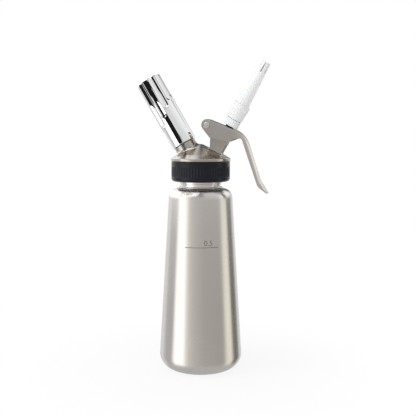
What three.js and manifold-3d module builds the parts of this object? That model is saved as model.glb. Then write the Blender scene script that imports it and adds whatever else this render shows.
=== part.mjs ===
import * as THREE from "three";
import { mergeVertices } from "three/addons/utils/BufferGeometryUtils.js";
import Module from "manifold-3d";

// A half-litre whipped cream dispenser, in millimetres, with +Z up.
// The origin is the centre of the bottle's flat base, and the bottle's axis is the Z axis.
// The charger holder leans towards -X, the nozzle and the lever lie towards +X.

const wasm = await Module();
wasm.setup();

// Fits, cutters and facets
const gap = 0.3;
const sealGap = 0.15;
const overrun = 2;
const weld = 1e-4;
const largeFacets = 40;
const middleFacets = 32;
const smallFacets = 20;
const arcStepDegrees = 18;
const smallArcStepDegrees = 45;
const smallArcRadius = 1.3;

// Bottle
const bottleFootRadius = 41.2;
const bottleFootCorner = 14;
const bottleTaperDegrees = 3.5;
const bottleHeight = 176.9;
const bottleShoulderCorner = 7.5;
const bottleShoulderRise = 0.5;
const bottleWall = 1;
const bottleFloor = 1.6;

// Neck ring
const mouthRadius = 17.2;
const neckRadius = 19.5;
const neckHeight = 19.3;
const neckFlangeRadius = 21.1;
const neckFlangeHeight = 0.9;
const neckBeadRadius = 20.3;
const neckBeadFoot = 4.2;
const neckBeadHeight = 2.2;
const neckRimCorner = 0.8;
const neckThreadDepth = 1;
const neckThreadPitch = 3.6;
const neckThreadStart = 8.4;
const neckThreadTurns = 2;

// Head, with heights measured from the face that the gasket seals on
const gasketThickness = 1.8;
const headBore = 21;
const skirtRadius = 25;
const skirtDepth = 13.9;
const rimRadius = 28.8;
const rimHeight = 2.6;
const rimSeat = 3.9;
const rimCorner = 0.7;
const flareWidth = 5.6;
const flareCorner = 5;
const domeTop = 20.3;
const domeTopRadius = 8;
const domeSlopeDegrees = 26;
const chamberRadius = 16.5;
const chamberWallHeight = 3.1;
const chamberTop = 9.6;
const chamberTopRadius = 3;

// Silicone grip ring
const gripWall = 3;
const gripLip = 1.5;
const gripCorner = 3.2;
const gripTopCorner = 0.6;

// Charger axis, which leaves the bottle's axis below the gasket face
const chargerTiltDegrees = 30.6;
const chargerFootDrop = 6.8;
const bossRadius = 10.8;
const bossReach = 31.2;
const bossCorner = 0.5;
const bossFlareRadius = 13.2;
const bossFlareStart = 3.2;
const bossFlareLength = 8;
const bossBore = 9.5;
const bossDepth = 10.5;
const gasHoleRadius = 1.4;
const discThickness = 1.2;
const checkValveRadius = 5;
const socketRadius = 4.8;
const stubLength = 8.5;
const stubThreadDepth = 0.5;
const stubThreadPitch = 2.4;
const stubThreadTurns = 2;
const pinShaftRadius = 1.5;
const pinBodyRadius = 2.6;
const pinBodyLength = 5.8;
const pinLength = 11.8;
const pinBoreRadius = 0.6;
const pinSlantDegrees = 35;
const carrierFloor = 1.7;
const chargerSealThickness = 1.7;

// Gas charger
const chargerRadius = 9;
const chargerLength = 65.5;
const chargerNeckRadius = 4.2;
const chargerNeckLength = 8.1;
const chargerShoulder = 6;
const chargerWall = 1.4;
const chargerEndCorner = 7.9;

// Charger holder
const holderRadius = 12.3;
const holderLength = 71.6;
const holderEndWall = 4.2;
const holderEndCorner = 1;
const holderFootCorner = 0.6;
const fluteCount = 12;
const fluteDepth = 1.15;
const fluteLength = 42;
const fluteRunOut = 3.4;
const fluteFacets = 4;

// Valve axis, which leaves the bottle's axis below the gasket face
const valveTiltDegrees = 30.6;
const valveFootDrop = 11.2;
const seatReach = 24;
const pocketRadius = 7.6;
const pocketDepth = 14;
const stemBore = 3.3;
const springSeatReach = 40;
const springPocketRadius = 4.5;
const towerReach = 47.4;
const towerHalfDepth = 5.3;
const towerRight = 6.8;
const towerLeft = 6;
const towerFoot = 22;
const towerCorner = 1;
const towerBendReach = 30.2;
const towerHeelLeft = 10.3;
const towerHeelReach = 38;
const towerShelfLeft = 7.5;
const towerBend = 4;
const lugRadius = 4;

// Valve stem and what it carries
const stemDiscRadius = 6.2;
const stemDiscThickness = 3;
const stemNeckRadius = 2.3;
const stemNeckTop = 27.5;
const stemRadius = 3;
const stemTop = 65.5;
const stemChannelRadius = 1.5;
const stemChannelStart = 24.4;
const stemPortReach = 25.6;
const stemPortRadius = 1;
const stemThreadDepth = 0.45;
const stemThreadPitch = 2.4;
const stemThreadTurns = 4;
const sealThickness = 2.1;
const ringReaches = [31, 36.2];
const ringTube = 0.42;
const grooveHalfHeight = 0.62;
const collarRadius = 5.3;
const collarThickness = 1.6;
const springWire = 0.4;
const springCurls = 5;
const springSteps = 8;
const springSides = 5;

// Lever, with places measured from its pivot pin
const pivotReach = 46.2;
const pivotOffset = 18.6;
const pivotPinRadius = 2;
const pivotHeadRadius = 3;
const pivotHeadThickness = 0.9;
const clipThickness = 0.9;
const clipWidth = 1.3;
const sheet = 1.3;
const leverHalfWidth = 7;
const plateSlopeDegrees = 21.7;
const plateLength = 37;
const backRise = 6.1;
const earShift = 0.4;
const kneeRadius = 24;
const handleLeanDegrees = 17.9;
const handleLength = 46.5;
const ankleRadius = 14;
const toeLeanDegrees = 33;
const toeLength = 14.2;
const toeThickness = 1;
const toeCorner = 6.2;
const toeWall = 1.6;
const kneeFlange = 4.2;
const kneeFlangeDrop = 3.3;
const kneeFlangeCorner = 2.6;
const heelFlange = 3.3;
const heelFlangeDrop = 4.4;
const heelFlangeCorner = 8;
const crotchReach = 28.2;
const crotchDrop = 12.6;
const crotchCorner = 7;
const cheekToeReach = 20.6;
const cheekToeDrop = 15.5;
const cheekHeelReach = 2.8;
const cheekHeelDrop = 11.7;
const cheekCorner = 1;
const slotReach = 19.05;
const slotHalfLength = 5.2;
const slotHalfWidth = 4.4;

// Nozzle
const adapterReach = 56.95;
const adapterRadius = 7.75;
const adapterLength = 6.95;
const adapterCorner = 0.5;
const knurlCount = 24;
const knurlDepth = 0.35;
const spigotRadius = 5.8;
const spigotLength = 5.6;
const nozzleLength = 60.6;
const nozzleCollarLength = 15.7;
const nozzleCollarRadius = 8.65;
const nozzleCollarCorner = 0.9;
const nozzleConeRadius = 6.85;
const nozzleTipRadius = 4.1;
const nozzleTipWall = 1.1;
const nozzleConeWall = 1.5;
const adapterGasketRadius = 4;
const slitCount = 6;
const slitWidth = 1.1;
const slitLength = 10.3;

// Finishes
const brushedSteel = { color: 0xa9a49d, roughness: 0.38, metalness: 1 };
const satinSteel = { color: 0x9c958d, roughness: 0.45, metalness: 1 };
const chrome = { color: 0xe2e3e6, roughness: 0.08, metalness: 1 };
const silicone = { color: 0x171920, roughness: 0.6, metalness: 0 };
const rubber = { color: 0x1c1c1c, roughness: 0.7, metalness: 0 };
const whitePlastic = { color: 0xf2f2f0, roughness: 0.35, metalness: 0 };
const zincSteel = { color: 0xb8bcc0, roughness: 0.3, metalness: 1 };

const degrees = THREE.MathUtils.degToRad;
const bottleTaper = degrees(bottleTaperDegrees);
const domeSlope = degrees(domeSlopeDegrees);
const chargerTilt = degrees(chargerTiltDegrees);
const valveTilt = degrees(valveTiltDegrees);
const plateSlope = degrees(plateSlopeDegrees);
const handleLean = degrees(handleLeanDegrees);
const toeLean = degrees(toeLeanDegrees);
const arcStep = degrees(arcStepDegrees);
const smallArcStep = degrees(smallArcStepDegrees);

// A point at a distance from another one, in a direction counted from the first axis
const away = (point, distance, angle) => [
  point[0] + distance * Math.cos(angle),
  point[1] + distance * Math.sin(angle),
];

// The points of an arc, both ends included
function arc(centre, radius, from, to) {
  const step = radius < smallArcRadius ? smallArcStep : arcStep;
  const steps = Math.max(2, Math.ceil(Math.abs(to - from) / step));
  const points = [];
  for (let i = 0; i <= steps; i++) {
    points.push(away(centre, radius, from + ((to - from) * i) / steps));
  }
  return points;
}

// The point where two lines meet, each through a point in a direction
function meet(a, angleA, b, angleB) {
  const cross = Math.sin(angleB - angleA);
  const across = (b[0] - a[0]) * Math.sin(angleB) - (b[1] - a[1]) * Math.cos(angleB);
  return away(a, across / cross, angleA);
}

// A closed outline from corners [across, up, radius], each rounded by its own radius
function rounded(corners) {
  const points = [];
  corners.forEach((corner, i) => {
    const before = corners[(i + corners.length - 1) % corners.length];
    const after = corners[(i + 1) % corners.length];
    const radius = corner[2] || 0;
    const inward = Math.atan2(corner[1] - before[1], corner[0] - before[0]);
    const outward = Math.atan2(after[1] - corner[1], after[0] - corner[0]);
    const turn = Math.atan2(Math.sin(outward - inward), Math.cos(outward - inward));
    if (!radius || !turn) {
      points.push([corner[0], corner[1]]);
      return;
    }
    const setBack = radius * Math.tan(Math.abs(turn) / 2);
    const side = Math.sign(turn) * (Math.PI / 2);
    const start = away(corner, -setBack, inward);
    const centre = away(start, radius, inward + side);
    points.push(...arc(centre, radius, inward - side, inward - side + turn));
  });
  return points;
}

// The corner of two lines that leave points a and b and run round a circle that lies inside it
function cornerRound(centre, radius, a, b) {
  const toCentre = (p) => Math.atan2(centre[1] - p[1], centre[0] - p[0]);
  const squint = (p) => Math.asin(radius / Math.hypot(centre[0] - p[0], centre[1] - p[1]));
  return meet(a, toCentre(a) - squint(a), b, toCentre(b) + squint(b));
}

// An open line of points moved sideways, to the left of its direction
function beside(points, distance) {
  const angles = points.slice(1).map((p, i) => Math.atan2(p[1] - points[i][1], p[0] - points[i][0]));
  return points.map((p, i) => {
    const before = angles[Math.max(i - 1, 0)];
    const after = angles[Math.min(i, angles.length - 1)];
    const bend = (after - before) / 2;
    return away(p, distance / Math.cos(bend), before + bend + Math.PI / 2);
  });
}

const vectors = (points) => points.map(([x, y]) => new THREE.Vector2(x, y));

// A solid of revolution round Z, from an outline that touches the axis or closes on itself
function turned(corners, facets = smallFacets) {
  const points = rounded(corners);
  if (points[0][0] > 0) points.push(points[0]);
  return new THREE.LatheGeometry(vectors(points), facets).rotateX(Math.PI / 2);
}

const ringBetween = (inner, outer, low, high, facets = smallFacets) =>
  turned([[inner, low], [outer, low], [outer, high], [inner, high]], facets);

const rod = (radius, low, high, facets = smallFacets) =>
  turned([[0, low], [radius, low], [radius, high], [0, high]], facets);

// A plate whose outline lies in the XZ plane, as thick along Y as it says on both sides
function slab(corners, halfWidth) {
  const shape = new THREE.Shape(vectors(rounded(corners)));
  const plate = new THREE.ExtrudeGeometry(shape, { depth: 2 * halfWidth, bevelEnabled: false });
  return plate.rotateX(Math.PI / 2).translate(0, halfWidth, 0);
}

// A block whose outline lies in the YZ plane, from one place along X to another
function frontBlock(corners, from, to) {
  const shape = new THREE.Shape(vectors(rounded(corners)));
  const block = new THREE.ExtrudeGeometry(shape, { depth: to - from, bevelEnabled: false });
  const turn = new THREE.Matrix4().makeBasis(
    new THREE.Vector3(0, 1, 0),
    new THREE.Vector3(0, 0, 1),
    new THREE.Vector3(1, 0, 0),
  );
  return block.applyMatrix4(turn).translate(from, 0, 0);
}

// A surface of revolution whose points move inwards by a depth that depends on angle and height
function carved(geometry, depthAt) {
  const position = geometry.getAttribute("position");
  for (let i = 0; i < position.count; i++) {
    const x = position.getX(i);
    const y = position.getY(i);
    const radius = Math.hypot(x, y);
    const depth = depthAt(Math.atan2(y, x), position.getZ(i), radius);
    if (!depth) continue;
    position.setXY(i, (x * (radius - depth)) / radius, (y * (radius - depth)) / radius);
  }
  return geometry;
}

// Heights along a thread, four to each turn, and the depth of its groove there
const threadSteps = 4;

function threadRows(radius, start, pitch, turns) {
  const rows = [];
  for (let i = 0; i <= turns * threadSteps; i++) {
    rows.push([radius, start + (i * pitch) / threadSteps]);
  }
  return rows;
}

function threadDepth(start, pitch, turns, depth) {
  return (angle, height) => {
    const along = (height - start) / pitch;
    if (along <= 0 || along >= turns) return 0;
    const wave = (1 - Math.cos(2 * Math.PI * along - angle)) / 2;
    const fade = Math.min(1, threadSteps * along, threadSteps * (turns - along));
    return depth * wave * fade;
  };
}

function solidOf(geometry) {
  const bare = geometry.clone();
  bare.deleteAttribute("normal");
  bare.deleteAttribute("uv");
  const merged = mergeVertices(bare, weld);
  const mesh = new wasm.Mesh({
    numProp: 3,
    vertProperties: merged.getAttribute("position").array,
    triVerts: new Uint32Array(merged.index.array),
  });
  return new wasm.Manifold(mesh);
}

function geometryOf(solid) {
  const mesh = solid.getMesh();
  const geometry = new THREE.BufferGeometry();
  geometry.setAttribute("position", new THREE.BufferAttribute(mesh.vertProperties, 3));
  geometry.setIndex(new THREE.BufferAttribute(mesh.triVerts, 1));
  geometry.computeVertexNormals();
  return geometry;
}

// One geometry from those that are joined, less those that are cut away
function built(joined, cut = []) {
  let solid = solidOf(joined[0]);
  for (const geometry of joined.slice(1)) solid = solid.add(solidOf(geometry));
  for (const geometry of cut) solid = solid.subtract(solidOf(geometry));
  return geometryOf(solid);
}

function shared(first, second) {
  return geometryOf(solidOf(first).intersect(solidOf(second)));
}

function piece(name, geometry, finish) {
  const mesh = new THREE.Mesh(geometry, new THREE.MeshStandardMaterial(finish));
  mesh.name = name;
  return mesh;
}

// The frames that the pieces stand in
const neckFoot = bottleHeight + bottleShoulderRise + gap;
const neckTop = neckFoot + neckHeight;
const headSeat = neckTop + gap + gasketThickness + gap;
const head = new THREE.Group();
head.position.set(0, 0, headSeat);

const chargerAxis = new THREE.Group();
chargerAxis.position.set(0, 0, -chargerFootDrop);
chargerAxis.rotation.y = -chargerTilt;

const valveAxis = new THREE.Group();
valveAxis.position.set(0, 0, -valveFootDrop);
valveAxis.rotation.y = valveTilt;

const leverPivot = new THREE.Group();
leverPivot.position.set(
  pivotReach * Math.sin(valveTilt) - pivotOffset * Math.cos(valveTilt),
  0,
  pivotReach * Math.cos(valveTilt) + pivotOffset * Math.sin(valveTilt) - valveFootDrop,
);
for (const frame of [chargerAxis, valveAxis, leverPivot]) frame.updateMatrix();

// Bottle: a drawn cup that narrows upwards, with its shoulder turned in to the mouth
function bottleOutline(inset, floor) {
  const slant = Math.tan(bottleTaper);
  const radiusAt = (height) => bottleFootRadius - inset / Math.cos(bottleTaper) - height * slant;
  const shoulder = bottleHeight - inset;
  return [
    [0, floor],
    [radiusAt(floor), floor, bottleFootCorner - inset],
    [radiusAt(shoulder), shoulder, bottleShoulderCorner - inset],
    [mouthRadius, shoulder + bottleShoulderRise],
  ];
}

function bottleBody() {
  const outside = bottleOutline(0, 0);
  const inside = bottleOutline(bottleWall, bottleFloor);
  return turned([...outside, ...inside.reverse()], largeFacets);
}

// Neck ring: welded flange, plain band and coarse thread
function neckRing() {
  const start = neckFoot + neckThreadStart;
  const body = turned(
    [
      [mouthRadius, neckFoot],
      [neckFlangeRadius, neckFoot],
      [neckFlangeRadius, neckFoot + neckFlangeHeight],
      [neckRadius, neckFoot + neckFlangeHeight],
      [neckRadius, neckFoot + neckBeadFoot],
      [neckBeadRadius, neckFoot + neckBeadFoot],
      [neckBeadRadius, neckFoot + neckBeadFoot + neckBeadHeight],
      [neckRadius, neckFoot + neckBeadFoot + neckBeadHeight],
      ...threadRows(neckRadius, start, neckThreadPitch, neckThreadTurns),
      [neckRadius, neckTop, neckRimCorner],
      [mouthRadius, neckTop, neckRimCorner],
    ],
    largeFacets,
  );
  const crest = threadDepth(start, neckThreadPitch, neckThreadTurns, -neckThreadDepth);
  return carved(body, (angle, height, radius) => (radius > mouthRadius + gap ? crest(angle, height) : 0));
}

// Head: skirt, rim, flared dome and the chamber inside it
function headShell() {
  const rimTop = rimSeat + rimHeight;
  const capEnd = domeTopRadius * Math.sin(domeSlope);
  const capFall = domeTopRadius * (1 - Math.cos(domeSlope));
  const waist = rimRadius - flareWidth;
  const waistHeight = domeTop - capFall - (waist - capEnd) * Math.tan(domeSlope);
  const cap = arc([0, domeTop - domeTopRadius], domeTopRadius, Math.PI / 2 - domeSlope, Math.PI / 2);
  return turned(
    [
      [0, chamberTop],
      [chamberTopRadius, chamberTop],
      [chamberRadius, chamberWallHeight],
      [chamberRadius, 0],
      [headBore, 0],
      [headBore, -skirtDepth],
      [skirtRadius, -skirtDepth],
      [skirtRadius, rimSeat],
      [rimRadius, rimSeat],
      [rimRadius, rimTop, rimCorner],
      [waist, waistHeight, flareCorner],
      ...cap,
    ],
    largeFacets,
  );
}

function boss() {
  const foot = bossReach - bossFlareStart - bossFlareLength;
  return turned(
    [
      [0, foot],
      [bossFlareRadius, foot],
      [bossRadius, bossReach - bossFlareStart],
      [bossRadius, bossReach, bossCorner],
      [0, bossReach],
    ],
    largeFacets,
  );
}

function tower() {
  const heel = [-towerHeelLeft, towerHeelReach];
  const shelf = [-towerShelfLeft, towerReach];
  const lug = cornerRound([-pivotOffset, pivotReach], lugRadius, shelf, heel);
  return slab(
    [
      [-towerLeft, towerFoot],
      [towerRight, towerFoot],
      [towerRight, towerReach, towerCorner],
      shelf,
      [...lug, lugRadius],
      [...heel, towerBend],
      [-towerLeft, towerBendReach, towerBend],
    ],
    towerHalfDepth,
  );
}

function headBody() {
  const onCharger = (geometry) => geometry.applyMatrix4(chargerAxis.matrix);
  const onValve = (geometry) => geometry.applyMatrix4(valveAxis.matrix);
  const pinBore = rod(pivotPinRadius + gap, -leverHalfWidth, leverHalfWidth).rotateX(Math.PI / 2);
  const bossFloor = bossReach - bossDepth;
  return built(
    [headShell(), onCharger(boss()), onValve(tower())],
    [
      onCharger(rod(bossBore, bossFloor, bossReach + overrun, largeFacets)),
      onCharger(rod(gasHoleRadius, bossFloor - bossDepth, bossFloor + overrun)),
      onValve(rod(pocketRadius, seatReach - pocketDepth, seatReach, largeFacets)),
      onValve(rod(stemBore, seatReach - overrun, towerReach)),
      onValve(rod(springPocketRadius, springSeatReach, towerReach + overrun)),
      pinBore.applyMatrix4(leverPivot.matrix),
    ],
  );
}

// Silicone sleeve round the skirt, with a lip turned in under it
function gripRing() {
  const inner = skirtRadius + gap;
  const outer = inner + gripWall;
  const top = rimSeat - gap;
  const lipTop = -skirtDepth - gap;
  const bottom = lipTop - gripLip;
  return turned(
    [
      [headBore + gap, bottom],
      [outer, bottom, gripCorner],
      [outer, top, gripTopCorner],
      [inner, top],
      [inner, lipTop],
      [headBore + gap, lipTop],
    ],
    largeFacets,
  );
}

// Pin carrier: a threaded stub with a socket for the charger's mouth
const carrierFoot = bossReach - bossDepth + gap + discThickness + gap;
const pinTop = carrierFoot + gap + pinBodyLength;
const socketFloor = pinTop + gap + carrierFloor;
const stubTop = bossReach + gap + stubLength;
const stubRadius = bossBore - gap;

function pinCarrier() {
  const start = bossReach + gap + gap;
  const body = turned(
    [
      [pinBodyRadius + gap, carrierFoot],
      [stubRadius, carrierFoot],
      ...threadRows(stubRadius, start, stubThreadPitch, stubThreadTurns),
      [stubRadius, stubTop, stubThreadDepth],
      [socketRadius, stubTop, stubThreadDepth],
      [socketRadius, socketFloor],
      [pinShaftRadius + gap, socketFloor],
      [pinShaftRadius + gap, pinTop + gap],
      [pinBodyRadius + gap, pinTop + gap],
    ],
    middleFacets,
  );
  const groove = threadDepth(start, stubThreadPitch, stubThreadTurns, stubThreadDepth);
  return carved(body, (angle, height, radius) => (radius > socketRadius + gap ? groove(angle, height) : 0));
}

// Piercing pin: a stepped tube with a slanted point
function piercingPin() {
  const foot = carrierFoot + gap;
  const tip = foot + pinLength;
  const body = turned([
    [0, foot],
    [pinBodyRadius, foot],
    [pinBodyRadius, pinTop],
    [pinShaftRadius, pinTop],
    [pinShaftRadius, tip],
    [0, tip],
  ]);
  const bore = rod(pinBoreRadius, foot - overrun, tip + overrun, springSteps);
  const side = 2 * pinBodyRadius;
  const slant = new THREE.BoxGeometry(2 * side, side, side);
  slant.translate(0, 0, side / 2).rotateY(degrees(pinSlantDegrees)).translate(0, 0, tip - pinShaftRadius);
  return built([body], [bore, slant]);
}

// Gas charger: a hollow capsule whose mouth the pin has opened
const chargerMouth = socketFloor + gap + chargerSealThickness + gap;
const chargerEnd = chargerMouth + chargerLength;

function gasCharger() {
  const neckEnd = chargerMouth + chargerNeckLength;
  const bodyStart = neckEnd + chargerShoulder;
  const outside = [
    [chargerNeckRadius, chargerMouth],
    [chargerNeckRadius, neckEnd],
    [chargerRadius, bodyStart, chargerShoulder],
    [chargerRadius, chargerEnd, chargerEndCorner],
    [0, chargerEnd],
  ];
  const inside = [
    [0, chargerEnd - chargerWall],
    [chargerRadius - chargerWall, chargerEnd - chargerWall, chargerEndCorner - chargerWall],
    [chargerRadius - chargerWall, bodyStart, chargerShoulder],
    [chargerNeckRadius - chargerWall, neckEnd],
    [chargerNeckRadius - chargerWall, chargerMouth + chargerWall],
    [pinShaftRadius + gap, chargerMouth + chargerWall],
    [pinShaftRadius + gap, chargerMouth],
  ];
  const capsule = turned([[0, chargerMouth], ...outside]);
  const hollow = turned([[0, chargerMouth - overrun], ...hollowOutline(inside)]);
  return built([capsule], [hollow]);
}

// The inside of the capsule, opened past its mouth so that it can be cut away
function hollowOutline(inside) {
  const mouth = inside[inside.length - 1];
  return [[mouth[0], mouth[1] - overrun], ...inside.slice(0, -1).reverse()];
}

// Charger holder: a cup with hollow flutes over its outer part
function chargerHolder() {
  const foot = bossReach + gap;
  const end = foot + holderLength;
  const bore = bossBore + gap;
  const boreEnd = chargerEnd + gap;
  const facets = fluteCount * fluteFacets;
  const fluteStart = end - fluteLength;
  const body = turned(
    [
      [bore, foot],
      [holderRadius, foot, holderFootCorner],
      [holderRadius, fluteStart],
      [holderRadius, fluteStart + fluteRunOut / 4],
      [holderRadius, fluteStart + fluteRunOut / 2],
      [holderRadius, fluteStart + fluteRunOut],
      [holderRadius, end, holderEndCorner],
      [0, end],
      [0, boreEnd],
      [bore, boreEnd, chargerEndCorner + gap],
    ],
    facets,
  );
  return carved(body, (angle, height, radius) => {
    if (radius < bore + gap || height <= fluteStart) return 0;
    const across = (((angle / (2 * Math.PI)) * fluteCount) % 1) + 1;
    const hollow = 1 - (2 * (across % 1) - 1) ** 2;
    const run = Math.min(1, (height - fluteStart) / fluteRunOut);
    return fluteDepth * Math.sqrt(1 - (1 - run) ** 2) * hollow;
  });
}

// Valve stem: a disc inside the head, a hollow rod and a thread for the nozzle's adapter
const discTop = seatReach - gap - sealThickness - gap;

function valveStem() {
  const foot = discTop - stemDiscThickness;
  const grooveRadius = stemBore - 2 * sealGap - 2 * ringTube;
  const threadStart = stemTop - stemThreadPitch * stemThreadTurns;
  const grooves = ringReaches.flatMap((reach) => [
    [stemRadius, reach - grooveHalfHeight],
    [grooveRadius, reach - grooveHalfHeight],
    [grooveRadius, reach + grooveHalfHeight],
    [stemRadius, reach + grooveHalfHeight],
  ]);
  const body = turned([
    [0, foot],
    [stemDiscRadius, foot, stemThreadDepth],
    [stemDiscRadius, discTop],
    [stemNeckRadius, discTop],
    [stemNeckRadius, stemNeckTop],
    [stemRadius, stemNeckTop],
    ...grooves,
    ...threadRows(stemRadius, threadStart, stemThreadPitch, stemThreadTurns),
    [0, stemTop],
  ]);
  const threaded = carved(body, threadDepth(threadStart, stemThreadPitch, stemThreadTurns, stemThreadDepth));
  const port = rod(stemPortRadius, -stemRadius, stemRadius, springSteps).rotateX(Math.PI / 2);
  port.translate(0, 0, stemPortReach);
  return built([threaded], [rod(stemChannelRadius, stemChannelStart, stemTop + overrun), port]);
}

const grooveRing = (reach) => {
  const middle = stemBore - sealGap - ringTube;
  return new THREE.TorusGeometry(middle, ringTube, springSteps, smallFacets).translate(0, 0, reach);
};

// The lever's plate under its slot, as a height on the valve axis, at a place across it
const plateAngle = valveTilt - plateSlope;
const plateUnder = (across) =>
  pivotReach + (backRise - sheet) / Math.cos(plateAngle) + (across + pivotOffset) * Math.tan(plateAngle);
const collarTop = plateUnder(-collarRadius) - gap;
const collarFoot = collarTop - collarThickness;

// Valve spring: one helix of round wire between its seat in the tower and the collar
function valveSpring() {
  const radius = (stemRadius + springPocketRadius) / 2;
  const low = springSeatReach + gap + springWire;
  const high = collarFoot - gap - springWire;
  const steps = springCurls * springSteps;
  const centres = [];
  for (let i = 0; i <= steps; i++) {
    const angle = (i / springSteps) * 2 * Math.PI;
    const height = low + ((high - low) * i) / steps;
    centres.push(new THREE.Vector3(radius * Math.cos(angle), radius * Math.sin(angle), height));
  }
  reportSelfGap(centres);
  return wireAlong(centres);
}

// The least gap between turns of the spring, measured between the points of its middle line
function reportSelfGap(centres) {
  let least = Infinity;
  for (let i = 0; i < centres.length; i++) {
    for (let j = i + springSteps / 2; j < centres.length; j++) {
      least = Math.min(least, centres[i].distanceTo(centres[j]) - 2 * springWire);
    }
  }
  console.log("valve_spring least gap to itself " + least.toFixed(2) + " mm");
}

function wireAlong(centres) {
  const vertices = [];
  const faces = [];
  centres.forEach((centre) => {
    const out = new THREE.Vector3(centre.x, centre.y, 0).normalize();
    for (let k = 0; k < springSides; k++) {
      const angle = (k / springSides) * 2 * Math.PI;
      const point = centre.clone().addScaledVector(out, springWire * Math.cos(angle));
      vertices.push(point.x, point.y, point.z + springWire * Math.sin(angle));
    }
  });
  const last = (centres.length - 1) * springSides;
  for (let i = 0; i < last; i += springSides) {
    for (let k = 0; k < springSides; k++) {
      const next = (k + 1) % springSides;
      faces.push(i + k, i + springSides + next, i + next);
      faces.push(i + k, i + springSides + k, i + springSides + next);
    }
  }
  for (let k = 1; k < springSides - 1; k++) {
    faces.push(0, k, k + 1);
    faces.push(last, last + k + 1, last + k);
  }
  const geometry = new THREE.BufferGeometry();
  geometry.setAttribute("position", new THREE.Float32BufferAttribute(vertices, 3));
  geometry.setIndex(faces);
  geometry.computeVertexNormals();
  return geometry;
}

// Lever: a stamped channel, whose back runs from the top plate over the knee to the toe
function leverBack() {
  const start = away([0, 0], backRise, Math.PI / 2 - plateSlope);
  const knee = away(start, plateLength, -plateSlope);
  const ankle = away(knee, handleLength, handleLean - Math.PI / 2);
  const toe = away(ankle, toeLength, toeLean - Math.PI / 2);
  return { knee, ankle, toe };
}

function leverOutside() {
  const { knee, ankle, toe } = leverBack();
  const inFrom = (point, drop, depth) =>
    away(away(point, drop, handleLean - Math.PI / 2), depth, handleLean - Math.PI);
  const heel = [cheekHeelReach, -cheekHeelDrop];
  const earRadius = backRise - earShift * (Math.sin(plateSlope) + Math.cos(plateSlope));
  const ear = cornerRound([earShift, earShift], earRadius, knee, heel);
  return [
    [...heel, cheekCorner],
    [cheekToeReach, -cheekToeDrop, cheekCorner],
    [crotchReach, -crotchDrop, crotchCorner],
    [...inFrom(knee, kneeFlangeDrop, kneeFlange), kneeFlangeCorner],
    [...inFrom(ankle, heelFlangeDrop, heelFlange), heelFlangeCorner],
    away(toe, toeThickness, toeLean - Math.PI),
    toe,
    [...ankle, ankleRadius],
    [...knee, kneeRadius],
    [...ear, earRadius],
  ];
}

function leverInside() {
  const { knee, ankle, toe } = leverBack();
  const far = plateLength;
  const start = away(knee, far + plateLength, Math.PI - plateSlope);
  const end = away(toe, far, toeLean - Math.PI / 2);
  const [first, kneeIn, ankleIn, last] = beside([start, knee, ankle, end], -sheet);
  return [
    first,
    [...kneeIn, kneeRadius - sheet],
    [...ankleIn, ankleRadius - sheet],
    last,
    [-far, last[1]],
    [-far, first[1]],
  ];
}

function leverFront(halfWidth, bottom, corner) {
  const top = backRise + overrun;
  return frontBlock(
    [
      [-halfWidth, bottom, corner],
      [halfWidth, bottom, corner],
      [halfWidth, top],
      [-halfWidth, top],
    ],
    -plateLength,
    2 * plateLength,
  );
}

function lever() {
  const { toe } = leverBack();
  const bottom = away(toe, toeThickness, toeLean - Math.PI)[1];
  const insideWidth = leverHalfWidth - sheet;
  const outside = shared(slab(leverOutside(), leverHalfWidth), leverFront(leverHalfWidth, bottom, toeCorner));
  const inside = shared(
    slab(leverInside(), insideWidth),
    leverFront(insideWidth, bottom + toeWall, toeCorner - sheet),
  );
  const slot = new THREE.Shape(
    vectors(
      rounded([
        [-slotHalfLength, -slotHalfWidth, slotHalfWidth],
        [slotHalfLength, -slotHalfWidth, slotHalfWidth],
        [slotHalfLength, slotHalfWidth, slotHalfWidth],
        [-slotHalfLength, slotHalfWidth, slotHalfWidth],
      ]),
    ),
  );
  const slotCut = new THREE.ExtrudeGeometry(slot, { depth: 2 * overrun + sheet, bevelEnabled: false });
  slotCut.translate(slotReach, 0, backRise - sheet - overrun).rotateY(plateSlope);
  const reach = leverHalfWidth + overrun;
  const pinHole = rod(pivotPinRadius + gap, -reach, reach).rotateX(Math.PI / 2);
  return built([outside], [inside, slotCut, pinHole]);
}

// Pivot pin with a domed head in front, and the ring that keeps it in at the back
function leverPin() {
  const face = leverHalfWidth + gap;
  const end = face + clipThickness + gap;
  return turned([
    [0, -end],
    [pivotPinRadius, -end],
    [pivotPinRadius, face],
    [pivotHeadRadius, face],
    [pivotHeadRadius, face + pivotHeadThickness, pivotHeadThickness - gap],
    [0, face + pivotHeadThickness],
  ]).rotateX(Math.PI / 2);
}

function pinClip() {
  const face = leverHalfWidth + gap;
  const inner = pivotPinRadius + sealGap;
  return ringBetween(inner, inner + clipWidth, -face - clipThickness, -face).rotateX(Math.PI / 2);
}

// Nozzle: a knurled adapter ring with a spigot, and the slotted tip that sits on it
const adapterTop = adapterReach + adapterLength;
const nozzleFoot = adapterTop + gap;

function nozzleAdapter() {
  const bore = stemRadius + gap;
  const knurlLow = adapterReach + 2 * adapterCorner;
  const knurlHigh = adapterTop - 2 * adapterCorner;
  const body = turned(
    [
      [bore, adapterReach],
      [adapterRadius, adapterReach, adapterCorner],
      [adapterRadius, knurlLow],
      [adapterRadius, knurlLow + adapterCorner],
      [adapterRadius, knurlHigh - adapterCorner],
      [adapterRadius, knurlHigh],
      [adapterRadius, adapterTop, adapterCorner],
      [spigotRadius, adapterTop],
      [spigotRadius, adapterTop + spigotLength, adapterCorner],
      [bore, adapterTop + spigotLength],
    ],
    2 * knurlCount,
  );
  return carved(body, (angle, height, radius) => {
    if (radius < spigotRadius + gap || height <= knurlLow || height >= knurlHigh) return 0;
    return (knurlDepth * (1 - Math.cos(knurlCount * angle))) / 2;
  });
}

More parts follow.
